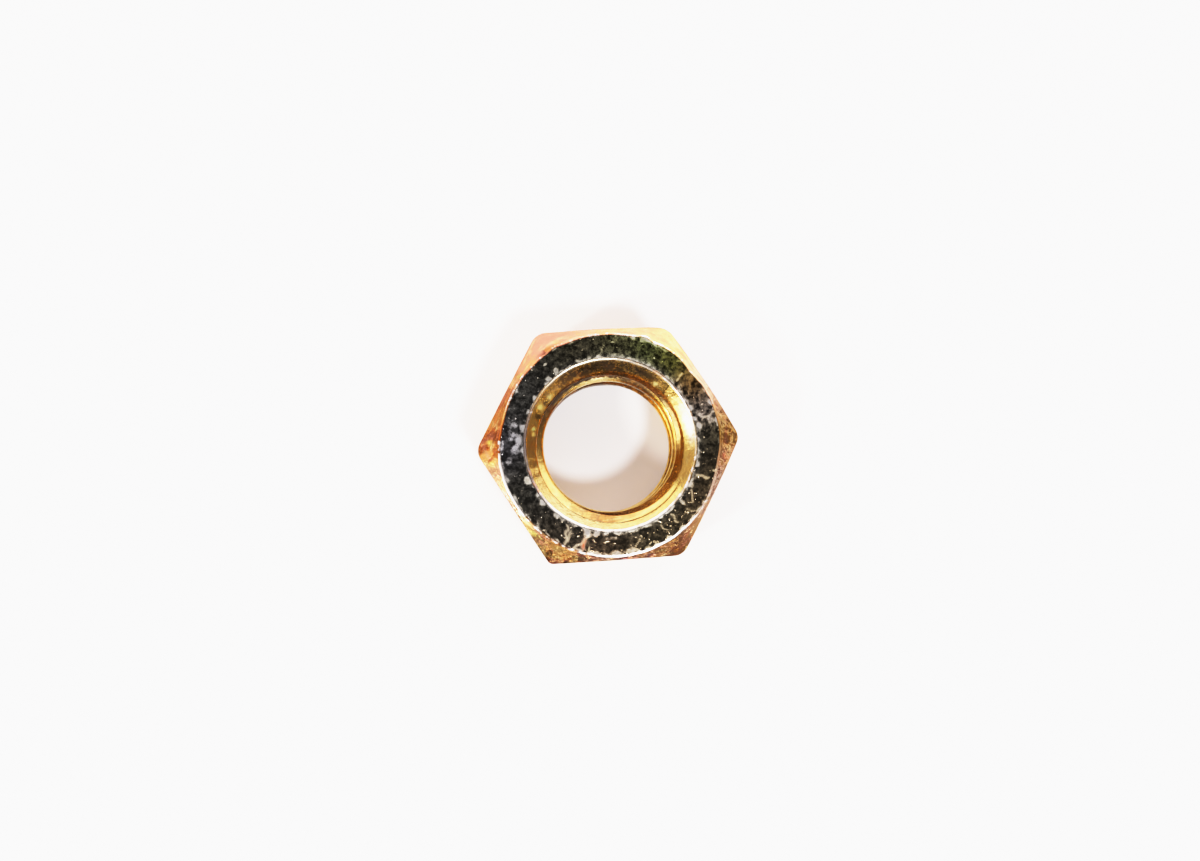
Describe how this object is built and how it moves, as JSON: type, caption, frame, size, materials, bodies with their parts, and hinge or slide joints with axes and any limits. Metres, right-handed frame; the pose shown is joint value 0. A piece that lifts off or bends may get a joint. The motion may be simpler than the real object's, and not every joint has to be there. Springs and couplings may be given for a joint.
{
  "type": "jam nut",
  "caption": "Thin hexagonal steel lock nut with chamfered faces, a countersunk right-handed thread and yellow zinc plating.",
  "frame": {"origin": "centre of the lower bearing face", "axes": "+Z along the thread axis, out of the upper face; two corners of the hexagon on the X axis, two flats square to the Y axis"},
  "size_m": [0.0214, 0.0188, 0.0079],
  "materials": {
    "yellow_zinc_steel": "yellow chromated zinc plating, bright and slightly pitted"
  },
  "bodies": {
    "root": {"jam_nut": "yellow_zinc_steel"}
  },
  "joints": []
}
